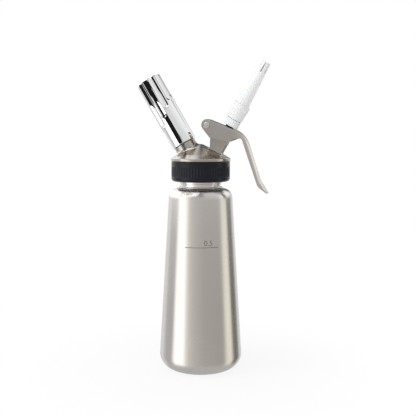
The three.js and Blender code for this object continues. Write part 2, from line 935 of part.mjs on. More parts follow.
function decoratingNozzle() {
  const tip = nozzleFoot + nozzleLength;
  const step = nozzleFoot + nozzleCollarLength;
  const socketTop = adapterTop + spigotLength + gap;
  const body = turned(
    [
      [spigotRadius + gap, nozzleFoot],
      [adapterRadius, nozzleFoot],
      [nozzleCollarRadius, step, nozzleCollarCorner],
      [nozzleConeRadius, step],
      [nozzleTipRadius, tip],
      [nozzleTipRadius - nozzleTipWall, tip],
      [nozzleConeRadius - nozzleConeWall, socketTop],
      [spigotRadius + gap, socketTop],
    ],
    middleFacets,
  );
  const slits = [];
  for (let i = 0; i < slitCount / 2; i++) {
    const slit = new THREE.BoxGeometry(slitWidth, 2 * nozzleCollarRadius, slitLength + overrun);
    slit.translate(0, 0, tip + (overrun - slitLength) / 2).rotateZ((i * 2 * Math.PI) / slitCount);
    slits.push(slit);
  }
  return built([body], slits);
}

// The assembly
chargerAxis.add(
  piece("pin_carrier", pinCarrier(), satinSteel),
  piece(
    "carrier_gasket",
    ringBetween(checkValveRadius + gap, stubRadius, carrierFoot - gap - discThickness, carrierFoot - gap),
    rubber,
  ),
  piece("check_valve", rod(checkValveRadius, carrierFoot - gap - discThickness, carrierFoot - gap), rubber),
  piece("piercing_pin", piercingPin(), zincSteel),
  piece(
    "charger_seal",
    ringBetween(pinShaftRadius + gap, socketRadius - gap, socketFloor + gap, chargerMouth - gap),
    rubber,
  ),
  piece("gas_charger", gasCharger(), zincSteel),
  piece("charger_holder", chargerHolder(), chrome),
);

valveAxis.add(
  piece("valve_stem", valveStem(), satinSteel),
  piece(
    "valve_seal",
    ringBetween(stemNeckRadius + gap, stemDiscRadius - gap, discTop + gap, seatReach - gap),
    rubber,
  ),
  piece("stem_o_ring_lower", grooveRing(ringReaches[0]), rubber),
  piece("stem_o_ring_upper", grooveRing(ringReaches[1]), rubber),
  piece("valve_spring", valveSpring(), zincSteel),
  piece("stem_collar", ringBetween(stemRadius + sealGap, collarRadius, collarFoot, collarTop), satinSteel),
  piece(
    "adapter_gasket",
    ringBetween(stemRadius + gap, adapterGasketRadius, collarTop + gap, adapterReach - gap),
    rubber,
  ),
  piece("nozzle_adapter", nozzleAdapter(), whitePlastic),
  piece("decorating_nozzle", decoratingNozzle(), whitePlastic),
);

leverPivot.add(
  piece("lever", lever(), satinSteel),
  piece("lever_pin", leverPin(), satinSteel),
  piece("pin_clip", pinClip(), zincSteel),
);

head.add(
  piece("head_body", headBody(), satinSteel),
  piece("grip_ring", gripRing(), silicone),
  piece(
    "head_gasket",
    ringBetween(mouthRadius, headBore - gap, -gap - gasketThickness, -gap, largeFacets),
    rubber,
  ),
  chargerAxis,
  valveAxis,
  leverPivot,
);

const dispenser = new THREE.Group();
dispenser.add(
  piece("bottle_body", bottleBody(), brushedSteel),
  piece("neck_ring", neckRing(), satinSteel),
  head,
);

export default dispenser;
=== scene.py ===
# %% [markdown]
# # A whipped cream dispenser, piece by piece
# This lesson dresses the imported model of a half-litre cream whipper for a studio picture.
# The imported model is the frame: it says where each piece is and what moves with what.
# The model's solids are cut from flat facets, so each one is replaced here by a smooth piece
# that stands in the same place and rides on the same body.

# %% Load the frame
import math

import bmesh
import bpy
from mathutils import Matrix, Vector


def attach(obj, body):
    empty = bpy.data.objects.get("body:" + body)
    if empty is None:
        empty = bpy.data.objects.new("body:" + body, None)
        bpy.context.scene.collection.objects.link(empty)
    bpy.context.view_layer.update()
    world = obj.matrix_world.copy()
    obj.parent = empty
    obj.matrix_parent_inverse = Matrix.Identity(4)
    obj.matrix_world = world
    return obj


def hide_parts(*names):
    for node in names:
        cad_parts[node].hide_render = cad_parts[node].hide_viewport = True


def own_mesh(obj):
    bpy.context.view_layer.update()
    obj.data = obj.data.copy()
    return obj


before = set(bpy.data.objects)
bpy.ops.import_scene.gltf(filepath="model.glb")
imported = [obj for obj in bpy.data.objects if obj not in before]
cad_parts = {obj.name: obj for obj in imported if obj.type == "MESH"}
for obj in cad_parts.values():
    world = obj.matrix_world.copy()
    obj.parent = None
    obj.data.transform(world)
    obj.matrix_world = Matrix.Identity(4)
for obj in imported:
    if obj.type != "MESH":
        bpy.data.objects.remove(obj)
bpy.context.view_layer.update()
MM = 0.001

# %% [markdown]
# ## Three leaning axes
# The head sits on the bottle's axis. Two more axes leave it at the same lean: one for the gas
# charger on the left, one for the valve on the right. A piece is drawn upright, round its own axis,
# and a matrix then leans it. That is much easier than drawing it leaning, and it keeps the finished
# object at the origin, with its place in its mesh.

# %% The frames that pieces are drawn in
LEAN = math.radians(30.6)
SEAT = 199.4
CHARGER_DROP, VALVE_DROP = 6.8, 11.2


def upright(x, z):
    return Matrix.Translation((x * MM, 0, z * MM))


BOTTLE = Matrix.Identity(4)
HEAD = upright(0, SEAT)
CHARGER = upright(0, SEAT - CHARGER_DROP) @ Matrix.Rotation(-LEAN, 4, "Y")
VALVE = upright(0, SEAT - VALVE_DROP) @ Matrix.Rotation(LEAN, 4, "Y")
PIVOT = upright(7.508, 237.434)
print("the charger's axis leaves the bottle's axis", round(SEAT - CHARGER_DROP, 1), "mm above the base")

# %% [markdown]
# ## Outlines with round corners
# A turned piece is an outline that is spun round an axis. Typing every point of an arc is slow and
# hard to change, so an outline here is a short list of corners, each with its own radius, and a
# helper puts the arcs in. Bevelling the corner vertices of a wire would give them all one radius.

# %% Arcs and rounded corners


def away(point, distance, angle):
    return (point[0] + distance * math.cos(angle), point[1] + distance * math.sin(angle))


def arc(centre, radius, start, end, step=9):
    count = max(3, math.ceil(abs(math.degrees(end - start)) / step))
    return [away(centre, radius, start + (end - start) * i / count) for i in range(count + 1)]


def rounded(corners, step=9, loop=True):
    points = []
    for i, corner in enumerate(corners):
        radius = corner[2] if len(corner) > 2 else 0
        end_of_line = not loop and i in (0, len(corners) - 1)
        before, after = corners[i - 1], corners[(i + 1) % len(corners)]
        inward = math.atan2(corner[1] - before[1], corner[0] - before[0])
        outward = math.atan2(after[1] - corner[1], after[0] - corner[0])
        turn = math.remainder(outward - inward, 2 * math.pi)
        if not radius or end_of_line or abs(turn) < 1e-6:
            points.append((corner[0], corner[1]))
            continue
        side = math.copysign(math.pi / 2, turn)
        start = away(corner, -radius * math.tan(abs(turn) / 2), inward)
        centre = away(start, radius, inward + side)
        points += arc(centre, radius, inward - side, inward - side + turn, step)
    return points


def meet(a, angle_a, b, angle_b):
    cross = math.sin(angle_b - angle_a)
    across = (b[0] - a[0]) * math.sin(angle_b) - (b[1] - a[1]) * math.cos(angle_b)
    return away(a, across / cross, angle_a)


def corner_round(centre, radius, a, b):
    """The corner of two lines that leave a and b and run round a circle inside it."""
    to_a = math.atan2(centre[1] - a[1], centre[0] - a[0])
    to_b = math.atan2(centre[1] - b[1], centre[0] - b[0])
    squint_a = math.asin(radius / math.dist(centre, a))
    squint_b = math.asin(radius / math.dist(centre, b))
    return meet(a, to_a - squint_a, b, to_b + squint_b)


def dense(points, spacing, above=-math.inf):
    """The same line with more points on its straight runs above a height."""
    out = [points[0]]
    for (x, z), (far_x, far_z) in zip(points, points[1:]):
        count = 1
        if min(z, far_z) >= above:
            count = max(1, math.ceil(math.dist((x, z), (far_x, far_z)) / spacing))
        out += [(x + (far_x - x) * i / count, z + (far_z - z) * i / count) for i in range(1, count + 1)]
    return out


print("a rounded square has", len(rounded([(0, 0, 1), (4, 0, 1), (4, 4, 1), (0, 4, 1)])), "points")

# %% [markdown]
# ## Spin, extrude and cut
# Three tools make nearly every piece of this object. Spin turns an outline into a cup, ring or rod.
# Extrude gives a side view its thickness. A Boolean modifier then cuts holes and joins castings,
# and its result is copied into a plain mesh, so that no live modifier is left behind.

# %% Mesh helpers
SAME_PLACE, ON_PLANE = 1e-6, 1e-7


def spun(points, steps, closed=True):
    bm = bmesh.new()
    verts = [bm.verts.new((r * MM, 0, z * MM)) for r, z in points]
    edges = [bm.edges.new(pair) for pair in zip(verts, verts[1:])]
    if closed:
        edges.append(bm.edges.new((verts[-1], verts[0])))
    bmesh.ops.spin(bm, geom=verts + edges, cent=(0, 0, 0), axis=(0, 0, 1), angle=2 * math.pi,
                   steps=steps, use_merge=True)
    bmesh.ops.remove_doubles(bm, verts=bm.verts, dist=SAME_PLACE)
    bmesh.ops.recalc_face_normals(bm, faces=bm.faces)
    return bm


def prism(points, step):
    """A face through points (x, y, z), drawn out by a step."""
    bm = bmesh.new()
    side = bm.faces.new([bm.verts.new([c * MM for c in point]) for point in points])
    walls = bmesh.ops.extrude_face_region(bm, geom=[side])
    far = [v for v in walls["geom"] if isinstance(v, bmesh.types.BMVert)]
    bmesh.ops.translate(bm, verts=far, vec=[c * MM for c in step])
    bmesh.ops.recalc_face_normals(bm, faces=bm.faces)
    return bm


def slab(points, half_width):
    """A side view, whose points are given as (x, z), with its thickness along Y."""
    return prism([(x, -half_width, z) for x, z in points], (0, 2 * half_width, 0))


def cross_bar(points, low, high):
    """A bar along X, whose cross-section is given as (y, z)."""
    return prism([(low, y, z) for y, z in points], (high - low, 0, 0))


def move_out(bm, rise_at):
    """Moves each vertex out from the Z axis by rise_at(angle, height, radius), all in millimetres."""
    for v in bm.verts:
        radius = math.hypot(v.co.x, v.co.y)
        if radius > SAME_PLACE:
            rise = rise_at(math.atan2(v.co.y, v.co.x), v.co.z / MM, radius / MM) * MM
            v.co.x *= (radius + rise) / radius
            v.co.y *= (radius + rise) / radius
    return bm


def placed(name, data):
    made = bpy.data.objects.new(name, data)
    bpy.context.scene.collection.objects.link(made)
    return made


def loose_object(name, bm, place=None):
    if place:
        bm.transform(place)
    mesh = bpy.data.meshes.new(name)
    bm.to_mesh(mesh)
    bm.free()
    return placed(name, mesh)


def settle(made):
    """Copies what the modifiers show into the object's own mesh."""
    bpy.context.view_layer.update()
    shown = made.evaluated_get(bpy.context.evaluated_depsgraph_get())
    mesh = bpy.data.meshes.new_from_object(shown)
    made.modifiers.clear()
    made.data = mesh
    return made


def combine(base, other, operation):
    step = base.modifiers.new(operation.lower(), "BOOLEAN")
    step.operation = operation
    step.solver = "EXACT"
    step.object = other
    settle(base)
    bpy.data.objects.remove(other)
    return base


def softened(made, width, segments=2, angle=40):
    step = made.modifiers.new("soft edges", "BEVEL")
    step.width = width * MM
    step.segments = segments
    step.limit_method = "ANGLE"
    step.angle_limit = math.radians(angle)
    return settle(made)


def dressed(made, body, material, nodes, sharp=32, flat=False):
    made.data.materials.clear()
    made.data.materials.append(material)
    made.data.polygons.foreach_set("use_smooth", [True] * len(made.data.polygons))
    made.data.set_sharp_from_angle(angle=math.radians(sharp))
    if flat:
        made.modifiers.new("flat faces stay flat", "WEIGHTED_NORMAL").keep_sharp = True
        settle(made)
    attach(made, body)
    if nodes:
        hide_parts(*nodes)
    print(made.name, "has", len(made.data.polygons), "faces")
    return made


def turned(name, node_name, body, material, place, points, steps, closed=True, shape=None, sharp=32):
    bm = spun(points, steps, closed)
    if shape:
        move_out(bm, shape)
    return dressed(loose_object(name, bm, place), body, material, [node_name], sharp)


# %% [markdown]
# ## Camera and studio
# The photograph was taken a little from the right and a little from above, with a plain white
# background. Brushed metal has hardly any colour of its own: what it shows is the room. So the room
# is made as a tall tube with a ceiling that only reflections can see. Three ColorRamps round its
# azimuth hold its rings, and each fades into the next one up. The lowest holds the bands that the
# bottle mirrors: a soft box on the left, a grey room behind the camera, a narrow warm window and a
# dark strip on the right. The two above it are what the top of the head and the leaning pieces see.

# %% Camera
VIEW_FROM = math.radians(14)
RISE = math.radians(5.777)
DISTANCE = 0.663
AIM = Vector((0, 0, 0.15755))


def look_along(thing, direction):
    thing.rotation_mode = "QUATERNION"
    thing.rotation_quaternion = direction.to_track_quat("-Z", "Y")


camera = placed("camera", bpy.data.cameras.new("camera"))
bpy.context.scene.camera = camera
camera.data.lens = 58.85
camera.data.shift_x = 0.0177
camera.data.clip_end = 20
towards_camera = Vector((math.sin(VIEW_FROM) * math.cos(RISE), -math.cos(VIEW_FROM) * math.cos(RISE),
                         math.sin(RISE)))
camera.location = AIM + towards_camera * DISTANCE
look_along(camera, -towards_camera)
print("camera at", [round(c, 3) for c in camera.location])

# %% Node helpers


def wire(tree, source, output, target, entry):
    tree.links.new(source.outputs[output], target.inputs[entry])


def node(tree, kind, place, **settings):
    """A node with its sockets or options set by name. A name's underscores stand for a socket's spaces."""
    made = tree.nodes.new(kind)
    made.location = place
    for name, value in settings.items():
        socket = name.replace("_", " ")
        if socket in made.inputs:
            made.inputs[socket].default_value = value
        else:
            setattr(made, name, value)
    return made


def empty_material(name):
    material = bpy.data.materials.new(name)
    material.use_nodes = True
    material.node_tree.nodes.clear()
    return material, material.node_tree


def ramp_stops(ramp, stops):
    """Gives a ColorRamp node its stops: (place, colour)."""
    elements = ramp.color_ramp.elements
    while len(elements) < len(stops):
        elements.new(0.5)
    for element, (place, colour) in zip(elements, stops):
        element.position = place
        element.color = (*colour, 1)


# %% The room that reflections see
ROOM_RADIUS, ROOM_FOOT, ROOM_TOP = 1300, -900, 1500
ROOM_GLOW, ROUND_STEPS = 2.0, 96
room_line = [(ROOM_RADIUS, ROOM_FOOT), (ROOM_RADIUS, ROOM_TOP), (0, ROOM_TOP)]
room = loose_object("reflection_room", spun(room_line, ROUND_STEPS, closed=False))
walls, tree = empty_material("reflection room")
where = node(tree, "ShaderNodeTexCoord", (-1300, 0))
turn = node(tree, "ShaderNodeMapping", (-1100, 0), Rotation=(0, 0, math.pi / 2 - VIEW_FROM))
round_about = node(tree, "ShaderNodeTexGradient", (-900, 0), gradient_type="RADIAL")
height = node(tree, "ShaderNodeSeparateXYZ", (-900, -200))
glow = node(tree, "ShaderNodeEmission", (-100, 0), Strength=ROOM_GLOW)
out = node(tree, "ShaderNodeOutputMaterial", (100, 0))
wire(tree, where, "Object", turn, "Vector")
wire(tree, where, "Object", height, 0)
wire(tree, turn, "Vector", round_about, "Vector")
wire(tree, glow, "Emission", out, "Surface")


def band(degrees, level, tint=(1, 1, 1)):
    """A stop of the ramp, from degrees to the right of the camera and the light it gives."""
    return (0.5 + degrees / 360, tuple(level / ROOM_GLOW * t for t in tint))


WARM = (1.0, 0.965, 0.92)
WINDOW = (1.0, 0.985, 0.86)
# Each ring: the heights in metres between which it takes over from the one below, and its stops.
RINGS = [
    (None, [(-180, 0.85), (-150, 0.86), (-130, 0.95), (-118, 0.62), (-88, 0.56), (-79, 1.75), (-50, 1.8),
            (-41, 1.05, WARM), (-30, 0.82, WARM), (-18, 0.7, WARM), (10, 0.56, WARM), (68, 0.5, WARM),
            (79, 1.15, WINDOW), (96, 1.25, WINDOW), (106, 0.2, WARM), (126, 0.24, WARM), (140, 0.9), (180, 0.85)]),
    ((0.12, 0.4), [(-180, 0.3, WARM), (-170, 0.9), (-155, 1.8), (-60, 1.7), (-40, 0.8), (10, 0.72), (60, 0.78),
                   (80, 1.05), (110, 0.9), (150, 0.9), (168, 0.35, WARM), (180, 0.3, WARM)]),
    ((1.0, 1.3), [(-180, 0.22, WARM), (-170, 0.9), (-155, 1.8), (-22, 1.9), (-12, 0.3, WARM), (9, 0.3, WARM),
                  (20, 0.85), (60, 0.85), (80, 0.95), (104, 0.9), (122, 0.1, WARM), (180, 0.14, WARM)]),
]
for i, (between, stops) in enumerate(RINGS):
    ring = node(tree, "ShaderNodeValToRGB", (-700, 200 - 500 * i))
    wire(tree, round_about, "Fac", ring, "Fac")
    ramp_stops(ring, [band(*stop) for stop in stops])
    if not between:
        colour = ring.outputs["Color"]
        continue
    climb = node(tree, "ShaderNodeMapRange", (-700, 450 - 500 * i), interpolation_type="SMOOTHSTEP",
                 From_Min=between[0], From_Max=between[1])
    wire(tree, height, "Z", climb, "Value")
    blend = node(tree, "ShaderNodeMix", (-400 + 100 * i, 200 - 250 * i), data_type="RGBA")
    wire(tree, climb, "Result", blend, 0)
    tree.links.new(colour, blend.inputs[6])
    wire(tree, ring, "Color", blend, 7)
    colour = blend.outputs[2]
tree.links.new(colour, glow.inputs["Color"])
room.data.materials.append(walls)


def only_in_reflections(thing):
    for ray in ("camera", "diffuse", "transmission", "shadow", "volume_scatter"):
        setattr(thing, "visible_" + ray, False)


only_in_reflections(room)
print("stops in the rings:", [len(stops) for _, stops in RINGS])

# %% [markdown]
# ### Cards
# A polished or satin piece close to the camera mirrors more than a far room can stage. Small cards
# stand near it, as a photographer's black and white boards do. Each glows on its front side only, so
# that it hides nothing from a piece behind it. The black card draws the dark streaks on the chrome
# holder, the low card lights what faces down, and the rest shade or lighten single faces of the head
# and the lever.

# %% Cards that only reflections see


def panel(made, level):
    """Gives a card an even glow on its front side only, and hides it from all but reflections."""
    paint, tree = empty_material(made.name)
    side = node(tree, "ShaderNodeNewGeometry", (-200, 200))
    glow = node(tree, "ShaderNodeEmission", (-200, 0), Color=(level, level, level, 1))
    clear = node(tree, "ShaderNodeBsdfTransparent", (-200, -150))
    mix = node(tree, "ShaderNodeMixShader", (0, 0))
    out = node(tree, "ShaderNodeOutputMaterial", (200, 0))
    wire(tree, side, "Backfacing", mix, 0)
    wire(tree, glow, 0, mix, 1)
    wire(tree, clear, 0, mix, 2)
    wire(tree, mix, 0, out, "Surface")
    made.data.materials.append(paint)
    only_in_reflections(made)


def card(name, points, place, level):
    """A flat card whose front is turned to the axis."""
    bm = bmesh.new()
    face = bm.faces.new([bm.verts.new([c * MM for c in point]) for point in points])
    bm.normal_update()
    if face.normal.dot(face.calc_center_median()) > 0:
        bmesh.ops.reverse_faces(bm, faces=[face])
    panel(loose_object(name, bm, place), level)


def upright_card(name, a, b, low, high, level):
    card(name, [(*a, low), (*b, low), (*b, high), (*a, high)], Matrix(), level)


def level_card(name, inner, outer, height, level):
    """A flat ring that faces up."""
    bm = spun([(inner, height), (outer, height)], ROUND_STEPS, closed=False)
    bm.normal_update()
    bmesh.ops.reverse_faces(bm, faces=[face for face in bm.faces if face.normal.z < 0])
    panel(loose_object(name, bm), level)


CARD_FAR = 50
black_line = rounded([(-24, 32, 11), (8.5, 32, 11), (8.5, 92, 1), (14, 96, 1), (14, 125), (-90, 125), (-90, 94, 1),
                      (-24, 88, 1)], 12)
card("black_card", [(x, -CARD_FAR, z) for x, z in black_line], CHARGER, 0.01)
upright_card("white_card", (215, 0), (85, 167), 208, 300, 1.4)
level_card("low_card", 0.1, 1250, -880, 0.66)
upright_card("left_card", (-75, -24), (-75, -4), 243, 272, 0.02)
upright_card("dark_card", (22, 60), (34, 60), 180, 222, 0.02)
upright_card("grey_card", (-36, -122), (14, -122), 205, 256, 0.52)
upright_card("upper_card", (-75, -66), (-22, -66), 312, 375, 1.9)
print("the black card stands", CARD_FAR, "mm in front of the holder's axis")

# %% [markdown]
# ## Floor, world and lamps
# The floor is nearly white and takes the object's shadow. Part of it glows for camera rays, so that
# it meets the white background without a line. It is left out of reflections, because the tube
# already goes on below it. The lamps are large and soft, and they too are left out of reflections.

# %% Floor, world and lamps
bm = bmesh.new()
bmesh.ops.create_grid(bm, x_segments=1, y_segments=1, size=3)
floor = loose_object("floor", bm)
pale, tree = empty_material("pale floor")
matt = node(tree, "ShaderNodeBsdfDiffuse", (-200, 100), Color=(0.93, 0.93, 0.93, 1))
white = node(tree, "ShaderNodeEmission", (-200, -60), Color=(1, 1, 1, 1), Strength=1.0)
ray = node(tree, "ShaderNodeLightPath", (-600, 300))
place = node(tree, "ShaderNodeTexCoord", (-1000, 150))
away_from_foot = node(tree, "ShaderNodeVectorMath", (-800, 150), operation="LENGTH")
fade = node(tree, "ShaderNodeMapRange", (-600, 150), interpolation_type="SMOOTHSTEP", From_Min=0.04,
            From_Max=0.2, To_Min=0.85, To_Max=1.0)
share = node(tree, "ShaderNodeMath", (-400, 300), operation="MULTIPLY")
mix = node(tree, "ShaderNodeMixShader", (0, 100))
out = node(tree, "ShaderNodeOutputMaterial", (200, 100))
wire(tree, place, "Object", away_from_foot, 0)
wire(tree, away_from_foot, "Value", fade, "Value")
wire(tree, ray, "Is Camera Ray", share, 0)
wire(tree, fade, "Result", share, 1)
wire(tree, share, 0, mix, "Fac")
wire(tree, matt, 0, mix, 1)
wire(tree, white, 0, mix, 2)
wire(tree, mix, 0, out, "Surface")
floor.data.materials.append(pale)
floor.visible_glossy = False

world = bpy.data.worlds.new("studio")
bpy.context.scene.world = world
world.use_nodes = True
tree = world.node_tree
tree.nodes.clear()
ray = node(tree, "ShaderNodeLightPath", (-800, 200))
seen = node(tree, "ShaderNodeMath", (-600, 200), operation="MAXIMUM")
shown = node(tree, "ShaderNodeMath", (-400, 200), operation="MAXIMUM")
fill = node(tree, "ShaderNodeBackground", (-200, 0), Color=(0.98, 0.99, 1, 1), Strength=0.66)
backdrop = node(tree, "ShaderNodeBackground", (-200, -160), Color=(1, 1, 1, 1), Strength=1.0)
mix = node(tree, "ShaderNodeMixShader", (0, 100))
out = node(tree, "ShaderNodeOutputWorld", (200, 100))
wire(tree, ray, "Is Camera Ray", seen, 0)
wire(tree, ray, "Is Glossy Ray", seen, 1)
wire(tree, seen, 0, shown, 0)
wire(tree, ray, "Is Transmission Ray", shown, 1)
wire(tree, shown, 0, mix, "Fac")
wire(tree, fill, 0, mix, 1)
wire(tree, backdrop, 0, mix, 2)
wire(tree, mix, 0, out, "Surface")


def soft_lamp(name, place, size, power):
    data = bpy.data.lights.new(name, "AREA")
    data.shape = "DISK"
    data.size = size
    data.energy = power
    lamp = placed(name, data)
    lamp.location = place
    look_along(lamp, AIM - lamp.location)
    lamp.visible_glossy = False


soft_lamp("key_lamp", Vector((-0.95, -0.75, 0.9)), 0.9, 7)
soft_lamp("fill_lamp", Vector((0.3, -1.2, 0.5)), 1.0, 3)

# %% [markdown]
# ## Shared surface effects
# No real finish is the same all over. Two small node groups are used by every material: one draws
# fine lines along a chosen direction, as brushing and turning leave them, and the other gives a
# slow, cloudy change for roughness and colour. Groups put out only values, so each material keeps
# its own shader.

# %% The "fine lines" and "cloudy" groups


def group(name, inputs, outputs):
    made = bpy.data.node_groups.new(name, "ShaderNodeTree")
    for label, kind, value in inputs:
        socket = made.interface.new_socket(label, in_out="INPUT", socket_type=kind)
        if value is not None:
            socket.default_value = value
    for label, kind in outputs:
        made.interface.new_socket(label, in_out="OUTPUT", socket_type=kind)
    return made, node(made, "NodeGroupInput", (-600, 0)), node(made, "NodeGroupOutput", (400, 0))


lines, given, result = group(
    "fine lines",
    [("Vector", "NodeSocketVector", None), ("Stretch", "NodeSocketVector", (1, 1, 1))],
    [("Height", "NodeSocketFloat")],
)
scaled = node(lines, "ShaderNodeVectorMath", (-400, 0), operation="MULTIPLY")
grain = node(lines, "ShaderNodeTexNoise", (-200, 0), Scale=1000.0, Detail=3.0, Roughness=0.6)
wire(lines, given, "Vector", scaled, 0)
wire(lines, given, "Stretch", scaled, 1)
wire(lines, scaled, 0, grain, "Vector")
wire(lines, grain, "Fac", result, "Height")

cloudy, given, result = group(
    "cloudy",
    [("Vector", "NodeSocketVector", None), ("Scale", "NodeSocketFloat", 40.0),
     ("Low", "NodeSocketFloat", 0.3), ("High", "NodeSocketFloat", 0.4)],
    [("Value", "NodeSocketFloat")],
)
clouds = node(cloudy, "ShaderNodeTexNoise", (-300, 100), Detail=4.0, Roughness=0.55)
spread = node(cloudy, "ShaderNodeMapRange", (0, 0), From_Min=0.3, From_Max=0.7)
wire(cloudy, given, "Vector", clouds, "Vector")
wire(cloudy, given, "Scale", clouds, "Scale")
wire(cloudy, clouds, "Fac", spread, "Value")
wire(cloudy, given, "Low", spread, "To Min")
wire(cloudy, given, "High", spread, "To Max")
wire(cloudy, spread, "Result", result, "Value")
print("groups:", [g.name for g in bpy.data.node_groups])

# %% [markdown]
# ## The finishes
# One function lays out the nodes that every finish here has: a colour that drifts a little, a
# cloudy roughness and a fine relief. What makes a finish is in the numbers: how far apart the lines
# are, which way they run, how rough and how metallic the surface is. Numbers that are the same all
# over are set on the shader itself. A ringed finish stretches its highlights as turning lines do.

# %% One layout for all finishes


def finish(name, colour, drift, rough, lines_along, relief, scale, ringed=False, **shader):
    material, tree = empty_material(name)
    where = node(tree, "ShaderNodeTexCoord", (-1100, 0))
    tone = node(tree, "ShaderNodeGroup", (-800, 300), node_tree=cloudy, Scale=scale * 0.5, Low=0.0, High=1.0)
    colours = node(tree, "ShaderNodeMix", (-500, 300), data_type="RGBA")
    colours.inputs[6].default_value = (*[c * (1 - drift) for c in colour], 1)
    colours.inputs[7].default_value = (*[min(1, c * (1 + drift)) for c in colour], 1)
    haze = node(tree, "ShaderNodeGroup", (-800, 50), node_tree=cloudy, Scale=scale, Low=rough[0], High=rough[1])
    fine = node(tree, "ShaderNodeGroup", (-800, -200), node_tree=lines, Stretch=lines_along)
    bump = node(tree, "ShaderNodeBump", (-500, -200), Strength=relief[0], Distance=relief[1] * MM)
    skin = node(tree, "ShaderNodeBsdfPrincipled", (-200, 100), **shader)
    out = node(tree, "ShaderNodeOutputMaterial", (100, 100))
    for part in (tone, haze, fine):
        wire(tree, where, "Object", part, "Vector")
    wire(tree, tone, "Value", colours, 0)
    wire(tree, colours, 2, skin, "Base Color")
    wire(tree, haze, "Value", skin, "Roughness")
    wire(tree, fine, "Height", bump, "Height")
    wire(tree, bump, "Normal", skin, "Normal")
    wire(tree, skin, 0, out, "Surface")
    if ringed:
        rings = node(tree, "ShaderNodeTangent", (-500, -450), direction_type="RADIAL", axis="Z")
        wire(tree, rings, "Tangent", skin, "Tangent")
    return material


# %% Steel, chrome, rubber and plastic
bottle_steel = finish(
    "bottle steel", (0.63, 0.605, 0.58), 0.02, (0.24, 0.29), (0.03, 0.03, 0.7), (0.04, 0.01), 22,
    ringed=True, Metallic=1.0, Anisotropic=0.7, Anisotropic_Rotation=0.25)
satin_steel = finish(
    "satin steel", (0.53, 0.495, 0.46), 0.03, (0.19, 0.25), (3, 3, 3), (0.08, 0.02), 70, Metallic=1.0)
head_steel = finish(
    "turned head steel", (0.46, 0.427, 0.393), 0.03, (0.22, 0.28), (0.03, 0.03, 4), (0.05, 0.01), 60,
    ringed=True, Metallic=1.0, Anisotropic=0.35, Anisotropic_Rotation=0.25)
turned_steel = finish(
    "turned steel", (0.72, 0.695, 0.665), 0.03, (0.2, 0.28), (0.05, 0.05, 5), (0.15, 0.02), 90,
    Metallic=1.0)
chrome = finish(
    "chrome", (0.9, 0.905, 0.91), 0.01, (0.035, 0.07), (1, 1, 1), (0.02, 0.01), 30, Metallic=1.0)
zinc = finish(
    "bright zinc", (0.68, 0.69, 0.7), 0.05, (0.22, 0.34), (2, 2, 2), (0.1, 0.02), 120, Metallic=1.0)
silicone = finish(
    "dark silicone", (0.0045, 0.0062, 0.0112), 0.08, (0.27, 0.33), (4, 4, 4), (0.12, 0.03), 80,
    Specular_IOR_Level=0.24)
rubber = finish(
    "black rubber", (0.018, 0.018, 0.018), 0.1, (0.55, 0.7), (5, 5, 5), (0.2, 0.03), 120)
nozzle_white = finish(
    "white plastic", (0.8, 0.805, 0.8), 0.008, (0.32, 0.42), (0.3, 0.3, 0.3), (0.03, 0.02), 60,
    Subsurface_Weight=0.08, Subsurface_Scale=0.002)
etched = finish(
    "etched mark", (0.2, 0.165, 0.14), 0.1, (0.5, 0.6), (5, 5, 5), (0.2, 0.02), 200, Metallic=0.5)
print("finishes:", [m.name for m in bpy.data.materials])

# %% [markdown]
# ## Bottle
# The bottle is drawn from sheet steel: a cone with a wide round foot and a round shoulder. It is
# spun as one closed outline, outside and inside, so that the wall has its real thickness when the
# head is off. A surface from a few circles and a subdivision modifier would also do, but spin keeps
# the exact taper.

# %% Bottle
TAPER = math.tan(math.radians(3.5))
CONE_FOOT, SHOULDER = 41.2, 176.9
FOOT_ROUND, SHOULDER_ROUND = 14, 10
WALL, BASE, MOUTH = 1, 1.6, 17.2


def bottle_radius(height):
    return CONE_FOOT - height * TAPER


def bottle_outline(inset, floor_height):
    top = SHOULDER - inset
    return rounded([(0, floor_height), (bottle_radius(floor_height) - inset, floor_height, FOOT_ROUND - inset),
                    (bottle_radius(top) - inset, top, SHOULDER_ROUND - inset), (MOUTH, top + 0.5)], 5, loop=False)


outside = bottle_outline(0, 0)
inside = bottle_outline(WALL, BASE)
lip = [(MOUTH - 0.2, SHOULDER + 0.3), (MOUTH - 0.2, SHOULDER - 0.3)]
turned("bottle", "bottle_body", "bottle", bottle_steel, BOTTLE,
       outside + lip + inside[::-1], 192, closed=False)


# %% [markdown]
# ## Fill line
# The fill height is etched into the front: a thin line and a plain number. An image would need a
# file, so the line is a thin strip spun through part of a circle, and the number is a text curve
# that is turned into a mesh and bent round the cone. Both stand a few hundredths of a millimetre
# proud of the steel, so that they never flicker into it.

# %% Fill line
MARK_PROUD, MARK_SUNK = 0.03, 0.1
MARK_LOW, MARK_HIGH = 123.25, 123.85
MARK_TURN = math.radians(-90 + 15.5)
MARK_SPAN = math.radians(55)
bm = bmesh.new()
corners = [(MARK_PROUD, MARK_LOW), (MARK_PROUD, MARK_HIGH), (-MARK_SUNK, MARK_HIGH), (-MARK_SUNK, MARK_LOW)]
strip = [bm.verts.new(((bottle_radius(z) + out) * MM, 0, z * MM)) for out, z in corners]
end = bm.faces.new(strip)
bmesh.ops.rotate(bm, verts=strip, cent=(0, 0, 0), matrix=Matrix.Rotation(MARK_TURN - MARK_SPAN / 2, 3, "Z"))
bmesh.ops.spin(bm, geom=[end], cent=(0, 0, 0), axis=(0, 0, 1), angle=MARK_SPAN, steps=48)
bmesh.ops.holes_fill(bm, edges=[e for e in bm.edges if e.is_boundary], sides=4)
bmesh.ops.recalc_face_normals(bm, faces=bm.faces)
fill_line = loose_object("fill_line", bm)
dressed(fill_line, "bottle", etched, [])

